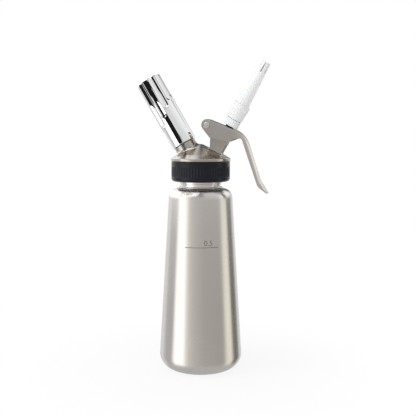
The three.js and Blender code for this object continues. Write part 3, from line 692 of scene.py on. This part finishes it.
# %% Fill number
NUMBER_FOOT, NUMBER_TALL = 125.4, 7
NUMBER_TURN = MARK_TURN + math.radians(11)
number = bpy.data.curves.new("fill_number", "FONT")
number.body = "0.5"
number.size = NUMBER_TALL * MM
number.align_x = "CENTER"
number.extrude = 2 * MARK_PROUD * MM
text = placed("fill_number", number)
bpy.context.view_layer.update()
letters = bpy.data.meshes.new_from_object(text.evaluated_get(bpy.context.evaluated_depsgraph_get()))
bpy.data.objects.remove(text)
bm = bmesh.new()
bm.from_mesh(letters)
bmesh.ops.remove_doubles(bm, verts=bm.verts, dist=SAME_PLACE)
bmesh.ops.triangulate(bm, faces=bm.faces)
for v in bm.verts:
    height = NUMBER_FOOT + v.co.y / MM
    radius = bottle_radius(height) + v.co.z / MM - MARK_PROUD
    angle = NUMBER_TURN + (v.co.x / MM) / bottle_radius(height)
    v.co = Vector((radius * math.cos(angle), radius * math.sin(angle), height)) * MM
bmesh.ops.recalc_face_normals(bm, faces=bm.faces)
dressed(loose_object("fill_number", bm), "bottle", etched, [])

# %% [markdown]
# ## Neck
# The neck is a separate steel ring, welded on the shoulder, with a plain band, a bead and a coarse
# thread. The thread is the spun ring pushed out along a wave that climbs by one pitch each turn,
# and fades at both ends as a rolled thread does.

# %% Threads
THREAD_ROWS = 16


def thread(start, pitch, turns, depth, from_radius):
    def rise(angle, height, radius):
        along = (height - start) / pitch
        if radius < from_radius or not 0 < along < turns:
            return 0
        wave = (1 - math.cos(2 * math.pi * along - angle)) / 2
        return depth * wave * min(1, 4 * along, 4 * (turns - along))
    return rise


def thread_rows(radius, start, pitch, turns):
    return [(radius, start + pitch * i / THREAD_ROWS) for i in range(THREAD_ROWS * turns + 1)]


# %% Neck ring
NECK_FOOT, NECK_TOP, NECK = 177.7, 197, 19.5
NECK_FLANGE, NECK_BEAD = 21.1, 20.3
NECK_THREAD = (NECK_FOOT + 8.4, 3.6, 2)
neck_points = rounded([
    (MOUTH, NECK_FOOT, 0.2), (NECK_FLANGE, NECK_FOOT, 0.3), (NECK_FLANGE, NECK_FOOT + 0.9, 0.3),
    (NECK, NECK_FOOT + 0.9, 0.4), (NECK, NECK_FOOT + 4.2, 0.2), (NECK_BEAD, NECK_FOOT + 4.2, 0.3),
    (NECK_BEAD, NECK_FOOT + 6.4, 0.3), (NECK, NECK_FOOT + 6.4, 0.2), *thread_rows(NECK, *NECK_THREAD),
    (NECK, NECK_TOP, 0.7), (MOUTH, NECK_TOP, 0.7),
], 15)
turned("neck", "neck_ring", "bottle", turned_steel, BOTTLE, neck_points, 192,
       shape=thread(*NECK_THREAD, 1, NECK - 1))

# %% [markdown]
# ## Head casting
# The head is one casting: a flared cap with a boss for the charger and a flat-sided tower for the
# valve. Where they meet, a casting has soft fillets. The cap is spun with a fine mesh, and its
# vertices near the boss and the tower are lifted along a quarter circle, so the fillets are there
# before the three bodies are joined. Bevelling the seam after the join is the other way, but its
# edges are too uneven for a clean bevel.

# %% Head: the flared cap
CHAMBER, CEILING, FLARE_FOOT = 16.5, 9.6, 6.6
SKIRT, SKIRT_BORE, SKIRT_FOOT = 25, 21, -13.9
RIM, RIM_FOOT = 28.8, 3.9
cap_points = rounded([
    (0, CEILING), (3, CEILING), (CHAMBER, 3.1), (CHAMBER, 0, 0.2), (SKIRT_BORE, 0, 0.2),
    (SKIRT_BORE, SKIRT_FOOT, 0.3), (SKIRT, SKIRT_FOOT, 0.3), (SKIRT, RIM_FOOT, 0.2), (RIM, RIM_FOOT, 0.5),
    (RIM, 6.5, 0.7), (23.2, 9.89, 5), (3.5, 19.49),
], 8, loop=False)[:-1]
crown = arc((0, 12.3), 8, math.pi / 2 - math.radians(26), math.pi / 2, 4)
cap = spun(dense(cap_points + crown, 0.5, above=FLARE_FOOT), 320, closed=False)

# %% Head: fillets round the boss and the tower
BOSS, BOSS_END, BOSS_FILLET, TOWER_FILLET = 10.8, 31.2, 3.2, 1.4
TOWER_LEFT, TOWER_RIGHT, TOWER_HALF = -6.0, 6.8, 5.3
to_boss = CHARGER.inverted() @ HEAD
to_tower = VALVE.inverted() @ HEAD
up_boss = to_boss.inverted().to_3x3() @ Vector((0, 0, MM))
up_tower = to_tower.inverted().to_3x3() @ Vector((0, 0, MM))


def fillet_rise(distance, radius):
    reach = radius - max(distance, 0)
    return radius - math.sqrt(radius ** 2 - reach ** 2) if reach > 0 else 0


def on_the_outside(v):
    height, radius = v.co.z / MM, math.hypot(v.co.x, v.co.y) / MM
    return height > FLARE_FOOT and (height > CEILING + 0.1 or radius > CHAMBER + 0.5)


for v in filter(on_the_outside, cap.verts):
    at_boss, at_tower = to_boss @ v.co / MM, to_tower @ v.co / MM
    boss_gap = math.hypot(at_boss.x, at_boss.y) - BOSS
    beside = max(TOWER_LEFT - at_tower.x, at_tower.x - TOWER_RIGHT, 0)
    tower_gap = math.hypot(beside, max(abs(at_tower.y) - TOWER_HALF, 0))
    v.co += up_boss * fillet_rise(boss_gap, BOSS_FILLET) + up_tower * fillet_rise(tower_gap, TOWER_FILLET)
head = loose_object("head", cap, HEAD)

# %% Head: boss and tower
boss_points = rounded([(0, 20), (BOSS, 20), (BOSS, BOSS_END, 0.6), (0, BOSS_END)], 15, loop=False)
boss = spun(boss_points, 160, closed=False)
combine(head, loose_object("boss", boss, CHARGER), "UNION")

lug = corner_round((-18.6, 46.2), 4.0, (-7.5, 47.4), (-10.3, 38.0))
tower_points = rounded([
    (TOWER_LEFT, 22), (TOWER_RIGHT, 22), (TOWER_RIGHT, 47.4, 1), (-7.5, 47.4), (*lug, 4.0),
    (-10.3, 38, 4), (TOWER_LEFT, 30.2, 4),
], 8)
tower = softened(loose_object("tower", slab(tower_points, TOWER_HALF)), 0.45, 3)
tower.data.transform(VALVE)
combine(head, tower, "UNION")


# %% Head: bores


def bore(name, base, place, points, steps):
    combine(base, loose_object(name, spun(points, steps, closed=False), place), "DIFFERENCE")


ACROSS_PIVOT = PIVOT @ Matrix.Rotation(math.pi / 2, 4, "X")
bore("valve_bore", head, VALVE,
     [(0, 10), (7.6, 10), (7.6, 24), (3.3, 24), (3.3, 40), (4.5, 40), (4.5, 50), (0, 50)], 64)
bore("boss_bore", head, CHARGER, [(0, 8), (1.4, 8), (1.4, 20.7), (9.5, 20.7), (9.5, 34), (0, 34)], 96)
bore("pin_bore", head, ACROSS_PIVOT, [(0, -9), (2.2, -9), (2.2, 9), (0, 9)], 48)
dressed(head, "head", head_steel, ["head_body"], 38, flat=True)

# %% [markdown]
# ## Grip ring
# The silicone sleeve gives a dry grip on the round head. On a ring like this the grip comes from a
# raised pattern, here plain upright ribs in a shallow band. They are left standing where the band
# is pushed into a finely spun ring, with a smooth step across each rib and at its ends.

# %% Grip ring with upright ribs
RIBS = 60
GRIP, RIB_DEEP = 28.3, 0.35
GRIP_LOW, GRIP_HIGH = -15.7, 3.6
BAND_MIDDLE, BAND_HALF = -6.4, 5.0


def smooth_step(low, high, value):
    t = min(1, max(0, (value - low) / (high - low)))
    return t * t * (3 - 2 * t)


def grip_ribs(angle, height, radius):
    if radius < GRIP - 0.05:
        return 0
    across = abs(((angle / (2 * math.pi) * RIBS) % 1) - 0.5)
    band = smooth_step(BAND_HALF, BAND_HALF - 0.7, abs(height - BAND_MIDDLE))
    rib = smooth_step(0.36, 0.2, across)
    return -RIB_DEEP * band * (1 - rib)


grip_points = dense(rounded([
    (21.3, GRIP_LOW, 0.5), (GRIP, GRIP_LOW, 3.2), (GRIP, GRIP_HIGH, 0.6), (25.3, GRIP_HIGH, 0.3),
    (25.3, GRIP_LOW + 1.5), (21.3, GRIP_LOW + 1.5, 0.4),
], 9), 0.5)
turned("grip", "grip_ring", "head", silicone, HEAD, grip_points, RIBS * 8, shape=grip_ribs,
       sharp=60)

# %% [markdown]
# ## Charger holder
# The holder is a chromed cup. Its outer part has hollow flutes for the fingers, each ending in the
# round run-out that a milling cutter leaves. The run-outs lie on a slanting plane, so that the
# flutes are longer on the lower side. The flutes are made by moving the spun surface inwards:
# deepest in the middle of a flute, nothing on the narrow land between two.

# %% Fluted holder
FLUTES = 12
HOLDER, HOLDER_BORE = 12.3, 9.8
HOLDER_FOOT, HOLDER_FLOOR, HOLDER_END = 31.5, 98.7, 103.1
FLUTE_START, FLUTE_SLOPE, FLUTE_RUN_OUT = 62, 1.2, 3.8
FLUTE_DEEP, FLUTE_WIDE_SHARE = 1.2, 0.93
FLUTE_TURN = math.radians(11.25)


def flutes(angle, height, radius):
    flute, place = divmod((angle - FLUTE_TURN) / (2 * math.pi) * FLUTES, 1)
    middle = (flute + 0.5) * 2 * math.pi / FLUTES + FLUTE_TURN
    start = FLUTE_START + FLUTE_SLOPE * HOLDER * math.cos(middle)
    if radius < HOLDER_BORE + 0.6 or height < start:
        return 0
    across = 2 * (place - 0.5) / FLUTE_WIDE_SHARE
    run = 1 - min(1, (height - start) / FLUTE_RUN_OUT)
    return -FLUTE_DEEP * max(0, 1 - across ** 2 - run ** 2) * min(1, radius / HOLDER)


outer = rounded([(HOLDER_BORE, HOLDER_FOOT), (HOLDER, HOLDER_FOOT, 0.6), (HOLDER, 46), (HOLDER, HOLDER_END, 1.1),
                 (0, HOLDER_END)], 12, loop=False)[1:]
inner = rounded([(0, HOLDER_FLOOR), (HOLDER_BORE, HOLDER_FLOOR, 8.2), (HOLDER_BORE, HOLDER_FOOT + 0.3),
                 (HOLDER_BORE + 0.3, HOLDER_FOOT)], 9, loop=False)
turned("holder", "charger_holder", "holder", chrome, CHARGER,
       inner + dense(outer, 0.75, above=45), FLUTES * 24, closed=False, shape=flutes, sharp=28)

# %% [markdown]
# ## Inside the charger boss
# Unscrewing the holder shows the parts that pierce the charger: a threaded carrier, a hollow pin
# with a slanted point, a rubber seal, and below them a gasket and a check valve. They are small
# turned parts, so each is one outline. The slanted point is a bisected tube whose two cut edges are
# bridged again.

# %% Pin carrier and its seals
STUB, STUB_THREAD = 9.2, (31.8, 2.4, 2)
carrier_points = rounded([
    (2.9, 22.5), (STUB, 22.5, 0.3), *thread_rows(STUB, *STUB_THREAD), (STUB, 40, 0.6), (4.8, 40, 0.4),
    (4.8, 30.6), (1.8, 30.6), (1.8, 28.9), (2.9, 28.9),
], 15)
turned("carrier", "pin_carrier", "head", turned_steel, CHARGER, carrier_points, 96,
       shape=thread(*STUB_THREAD, -0.5, 5.2))


def seal(name, node_name, body, place, inner_radius, outer_radius, low, high, corner=0.3):
    points = rounded([
        (inner_radius, low, corner), (outer_radius, low, corner), (outer_radius, high, corner),
        (inner_radius, high, corner),
    ], 22)
    return turned(name, node_name, body, rubber, place, points, 64)


seal("carrier_ring", "carrier_gasket", "head", CHARGER, 5.3, STUB, 21.0, 22.2)
seal("charger_ring", "charger_seal", "head", CHARGER, 1.8, 4.5, 30.9, 32.6)
seal("head_ring", "head_gasket", "head", HEAD, MOUTH, 20.7, -2.1, -0.3, 0.4)
turned("check_disc", "check_valve", "head", rubber, CHARGER,
       rounded([(0, 21.0), (5, 21.0, 0.3), (5, 22.2, 0.3), (0, 22.2)], 22, loop=False), 48, closed=False)

# %% Piercing pin
pin = spun([(0.6, 22.8), (2.6, 22.8), (2.6, 28.4), (2.4, 28.6), (1.5, 28.6), (1.5, 34.6), (0.6, 34.6)], 40)
SLANT = math.radians(35)
slant = Vector((math.sin(SLANT), 0, math.cos(SLANT)))
cut = bmesh.ops.bisect_plane(pin, geom=pin.verts[:] + pin.edges[:] + pin.faces[:], dist=ON_PLANE,
                             plane_co=(0, 0, 33.1 * MM), plane_no=slant, clear_outer=True)
bmesh.ops.bridge_loops(pin, edges=[e for e in cut["geom_cut"] if isinstance(e, bmesh.types.BMEdge)])
bmesh.ops.recalc_face_normals(pin, faces=pin.faces)
dressed(loose_object("needle", pin, CHARGER), "head", zinc, ["piercing_pin"], 30)

# %% Gas charger
charger_points = rounded([
    (0, 97), (7.6, 97, 6.5), (7.6, 47, 6), (2.8, 41), (2.8, 34.3), (1.8, 34.3), (1.8, 32.9),
    (4.2, 32.9, 0.4), (4.2, 41, 1.5), (9, 47, 6), (9, 98.4, 7.9), (0, 98.4),
], 10, loop=False)
turned("charger", "gas_charger", "charger", zinc, CHARGER, charger_points, 72, closed=False)

# %% [markdown]
# ## Valve
# Pressing the lever pushes a hollow stem into the head, and its rubber seal leaves its seat. The
# spring is one helix: a small circle is spun five turns and climbs a little with each step.

# %% Stem, seals and collar
STEM, STEM_THREAD = 3, (55.9, 2.4, 4)
O_RINGS = {"lower": 31, "upper": 36.2}
GROOVE, GROOVE_HALF = 2.16, 0.62
grooves = []
for reach in O_RINGS.values():
    low, high = reach - GROOVE_HALF, reach + GROOVE_HALF
    grooves += [(STEM, low), (GROOVE, low), (GROOVE, high), (STEM, high)]
stem_points = rounded([
    (0, 18.3), (6.2, 18.3, 0.5), (6.2, 21.3, 0.2), (2.3, 21.3), (2.3, 27.5), (STEM, 27.5, 0.2), *grooves,
    *thread_rows(STEM, *STEM_THREAD), (1.5, 65.5), (1.5, 24.4), (0, 24.4),
], 15, loop=False)
stem_mesh = move_out(spun(stem_points, 48, closed=False), thread(*STEM_THREAD, -0.45, 2.2))
stem = loose_object("stem", stem_mesh, VALVE)
port = VALVE @ Matrix.Translation((0, 0, 25.6 * MM)) @ Matrix.Rotation(math.pi / 2, 4, "X")
bore("stem_port", stem, port, [(0, -4), (1, -4), (1, 4), (0, 4)], 24)
dressed(stem, "stem", turned_steel, ["valve_stem"])

seal("stem_seal", "valve_seal", "stem", VALVE, 2.6, 5.9, 21.6, 23.7)
seal("adapter_ring", "adapter_gasket", "stem", VALVE, 3.3, 4, 53.14, 56.65, 0.2)
for label, reach in O_RINGS.items():
    turned("o_ring_" + label, "stem_o_ring_" + label, "stem", rubber, VALVE,
           arc((2.73, reach), 0.42, 0, 2 * math.pi, 24)[:-1], 48)
turned("collar", "stem_collar", "stem", turned_steel, VALVE,
       rounded([(3.15, 51.24, 0.2), (5.3, 51.24, 0.3), (5.3, 52.84, 0.3), (3.15, 52.84, 0.2)], 22), 56)

# %% Valve spring
WIRE, COIL, COILS, COIL_STEPS = 0.4, 3.75, 5, 32
LOW_COIL, HIGH_COIL = 40.7, 50.54
spring = bmesh.new()
ring = bmesh.ops.create_circle(spring, cap_ends=False, segments=10, radius=WIRE * MM)
bmesh.ops.rotate(spring, verts=ring["verts"], cent=(0, 0, 0), matrix=Matrix.Rotation(math.pi / 2, 3, "X"))
bmesh.ops.translate(spring, verts=ring["verts"], vec=(COIL * MM, 0, LOW_COIL * MM))
climb = (HIGH_COIL - LOW_COIL) * MM / (COILS * COIL_STEPS)
bmesh.ops.spin(spring, geom=spring.verts[:] + spring.edges[:], cent=(0, 0, 0), axis=(0, 0, 1),
               angle=2 * math.pi * COILS, steps=COILS * COIL_STEPS, dvec=(0, 0, climb))
bmesh.ops.holes_fill(spring, edges=[e for e in spring.edges if e.is_boundary], sides=0)
bmesh.ops.recalc_face_normals(spring, faces=spring.faces)
coil = dressed(loose_object("spring", spring, VALVE), "head", zinc, ["valve_spring"])
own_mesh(coil)

# %% [markdown]
# ## Lever
# The lever is stamped from one sheet and folded into a channel: a back with two cheeks. Its back
# follows the hand and ends in a rounded toe. The shape comes from a bar with round outer edges,
# trimmed to the side view, hollowed by a thinner bar, and with the stem's slot cut through the back.
# Solidify could thicken a folded surface, but its cut edges wouldn't stay square.

# %% Lever: the lines of its back
PLATE_SLOPE, HANDLE_LEAN, TOE_LEAN = (math.radians(a) for a in (21.7, 17.9, 33))
BACK_RISE, SHEET, PLATE, HANDLE, TOE = 6.1, 1.3, 37, 46.5, 14.2
KNEE_ROUND, ANKLE_ROUND = 24, 14
start = away((0, 0), BACK_RISE, math.pi / 2 - PLATE_SLOPE)
knee = away(start, PLATE, -PLATE_SLOPE)
ankle = away(knee, HANDLE, HANDLE_LEAN - math.pi / 2)
toe = away(ankle, TOE, TOE_LEAN - math.pi / 2)


def in_from(point, drop, depth):
    return away(away(point, drop, HANDLE_LEAN - math.pi / 2), depth, HANDLE_LEAN - math.pi)


heel = (2.8, -11.7)
ear_radius = BACK_RISE - 0.4 * (math.sin(PLATE_SLOPE) + math.cos(PLATE_SLOPE))
ear = corner_round((0.4, 0.4), ear_radius, knee, heel)
side_view = rounded([
    (*heel, 1), (20.6, -15.5, 1), (28.2, -12.6, 7), (*in_from(knee, 3.3, 4.2), 2.6),
    (*in_from(ankle, 4.4, 3.3), 8), away(toe, 1, TOE_LEAN - math.pi), toe, (*ankle, ANKLE_ROUND),
    (*knee, KNEE_ROUND), (*ear, ear_radius),
], 4)
print("the toe is", round(math.dist((0, 0), toe), 1), "mm from the pin")


# %% Lever: folded bar
BAR_FAR = -60


def inset_line(points, distance):
    """The corners of a line that runs beside an open line of points, to its left."""
    turns = [math.atan2(b[1] - a[1], b[0] - a[0]) for a, b in zip(points, points[1:])]
    moved = [away(a, distance, turn + math.pi / 2) for a, turn in zip(points, turns)]
    middle = [meet(moved[i], turns[i], moved[i + 1], turns[i + 1]) for i in range(len(turns) - 1)]
    return [moved[0], *middle, away(points[-1], distance, turns[-1] + math.pi / 2)]


def bar_view(distance):
    far_start = away(knee, 2 * PLATE, math.pi - PLATE_SLOPE)
    far_end = away(toe, PLATE, TOE_LEAN - math.pi / 2)
    first, knee_in, ankle_in, last = inset_line([far_start, knee, ankle, far_end], -distance)
    return rounded([first, (*knee_in, KNEE_ROUND - distance), (*ankle_in, ANKLE_ROUND - distance), last,
                    (BAR_FAR, last[1]), (BAR_FAR, first[1])], 4)


HALF, INNER_HALF = 7, 5.7
BEND_STEP, BLEND_BEFORE, BLEND_AFTER = 15, 6, 2
toe_bottom = away(toe, 1, TOE_LEAN - math.pi)[1]


def toe_round(half, low, corner):
    section = rounded([(-half, low, corner), (half, low, corner), (half, 9), (-half, 9)], 6)
    return cross_bar(section, -PLATE, 2 * PLATE)


def folded(name, outline, half, plate_bend, handle_bend):
    """A bar with round edges along its back, with one bend on the plate and another on the handle."""
    bm = slab(outline, half)
    for tilt in range(0, 90, BEND_STEP):
        across = half - handle_bend * (1 - math.sin(math.radians(tilt)))
        for side in (-1, 1):
            bmesh.ops.bisect_plane(bm, geom=bm.verts[:] + bm.edges[:] + bm.faces[:], dist=ON_PLANE,
                                   plane_co=(0, side * across * MM, 0), plane_no=(0, 1, 0))
    back = outline[:-2]
    for v in bm.verts:
        seen = (v.co.x / MM, v.co.z / MM)
        nearest = min(range(len(outline)), key=lambda i: math.dist(outline[i], seen))
        if nearest >= len(back):
            continue
        before, after = back[max(nearest - 1, 0)], back[min(nearest + 1, len(back) - 1)]
        along = smooth_step(knee[0] - BLEND_BEFORE, knee[0] + BLEND_AFTER, seen[0])
        bend = plate_bend + (handle_bend - plate_bend) * along
        over = max(0, abs(v.co.y) / MM - half + bend) / bend
        drop = bend * (1 - math.sqrt(max(0, 1 - over ** 2)))
        inward = math.atan2(after[1] - before[1], after[0] - before[0]) - math.pi / 2
        v.co += Vector((math.cos(inward), 0, math.sin(inward))) * drop * MM
    return loose_object(name, bm)


lever = folded("lever_bar", bar_view(0), HALF, 1.3, 3.2)
combine(lever, loose_object("side_view", slab(side_view, HALF + 1)), "INTERSECT")
combine(lever, loose_object("toe_round", toe_round(HALF, toe_bottom, 6.2)), "INTERSECT")
hollow = folded("hollow", bar_view(SHEET), INNER_HALF, 0.4, 2.1)
combine(hollow, loose_object("hollow_toe", toe_round(INNER_HALF, toe_bottom + 1.6, 4.9)), "INTERSECT")
combine(lever, hollow, "DIFFERENCE")

# %% Lever: slot, pin hole and edges
SLOT_LONG, SLOT_WIDE, SLOT_REACH, SLOT_DEEP = 5.2, 4.4, 19.05, 4
slot_points = rounded([(-SLOT_LONG, -SLOT_WIDE, SLOT_WIDE), (SLOT_LONG, -SLOT_WIDE, SLOT_WIDE),
                       (SLOT_LONG, SLOT_WIDE, SLOT_WIDE), (-SLOT_LONG, SLOT_WIDE, SLOT_WIDE)], 8)
slot = prism([(SLOT_REACH + x, y, BACK_RISE - SLOT_DEEP) for x, y in slot_points], (0, 0, 2 * SLOT_DEEP))
bmesh.ops.remove_doubles(slot, verts=slot.verts, dist=SAME_PLACE)
bmesh.ops.recalc_face_normals(slot, faces=slot.faces)
combine(lever, loose_object("slot", slot, Matrix.Rotation(PLATE_SLOPE, 4, "Y")), "DIFFERENCE")
bore("lever_hole", lever, Matrix.Rotation(math.pi / 2, 4, "X"), [(0, -9), (2.3, -9), (2.3, 9), (0, 9)], 48)
softened(lever, 0.22, 2, 45)
lever.data.transform(PIVOT)
dressed(lever, "lever", satin_steel, ["lever"], 40, flat=True)

# %% [markdown]
# ## Pivot pin and clip
# A headed pin carries the lever, and a spring ring keeps it in at the back. Both are turned parts
# that lie across the head.

# %% Pin and clip
turned("pivot_pin", "lever_pin", "head", turned_steel, ACROSS_PIVOT,
       rounded([(0, -8.5), (2, -8.5, 0.4), (2, 7.3), (3, 7.3, 0.1), (3, 8.2, 0.6), (0, 8.2)], 15, loop=False), 56,
       closed=False)
turned("clip", "pin_clip", "head", zinc, ACROSS_PIVOT,
       rounded([(2.15, -8.2, 0.2), (3.45, -8.2, 0.3), (3.45, -7.3, 0.3), (2.15, -7.3, 0.2)], 22), 48)

# %% [markdown]
# ## Nozzle
# The white tip is two moulded parts: a knurled ring that screws on the stem, and the tip with its
# slotted end, which draws the star in the cream. The knurl is a wave round the spun ring, and the
# slots are cut by three thin blocks that go right across.

# %% Knurled adapter
KNURLS, KNURL_DEEP = 24, 0.35
NOZZLE = 7.75


def knurl(angle, height, radius):
    ends = smooth_step(57.7, 58.5, height) * smooth_step(63.1, 62.4, height)
    return -KNURL_DEEP * ends * (1 - math.cos(KNURLS * angle)) / 2 if radius > 6.1 else 0


adapter_points = rounded([
    (3.3, 56.95), (NOZZLE, 56.95, 0.5), (NOZZLE, 63.9, 0.5), (5.8, 63.9, 0.2), (5.8, 69.5, 0.5), (3.3, 69.5),
], 15)
turned("adapter", "nozzle_adapter", "adapter", nozzle_white, VALVE,
       dense(adapter_points, 0.5), KNURLS * 8, shape=knurl, sharp=40)

# %% Slotted tip
TIP_END, SLIT_FOOT = 124.8, 114.5
SLIT_HALF = (0.55, 9, 6.15)
tip_points = rounded([
    (6.1, 64.2), (NOZZLE, 64.2, 0.4), (8.65, 79.9, 0.9), (6.85, 79.9, 0.5), (4.1, TIP_END, 0.3),
    (3.0, TIP_END, 0.3), (5.35, 69.8), (6.1, 69.8),
], 12)
tip = loose_object("tip", spun(tip_points, 96))
for i in range(3):
    slit = bmesh.new()
    bmesh.ops.create_cube(slit, size=2 * MM)
    bmesh.ops.scale(slit, verts=slit.verts, vec=SLIT_HALF)
    bmesh.ops.translate(slit, verts=slit.verts, vec=(0, 0, (SLIT_FOOT + SLIT_HALF[2]) * MM))
    combine(tip, loose_object("slit", slit, Matrix.Rotation(math.pi / 3 * i, 4, "Z")), "DIFFERENCE")
softened(tip, 0.12, 2, 50)
tip.data.transform(VALVE)
dressed(tip, "nozzle", nozzle_white, ["decorating_nozzle"], 40)

# %% [markdown]
# ## Last checks
# ## View transform
# The picture is shown with the Standard view transform. The visual model has to stay inside the
# box of the imported one.

# %% View transform
bpy.context.scene.view_settings.view_transform = "Standard"
bpy.context.view_layer.update()
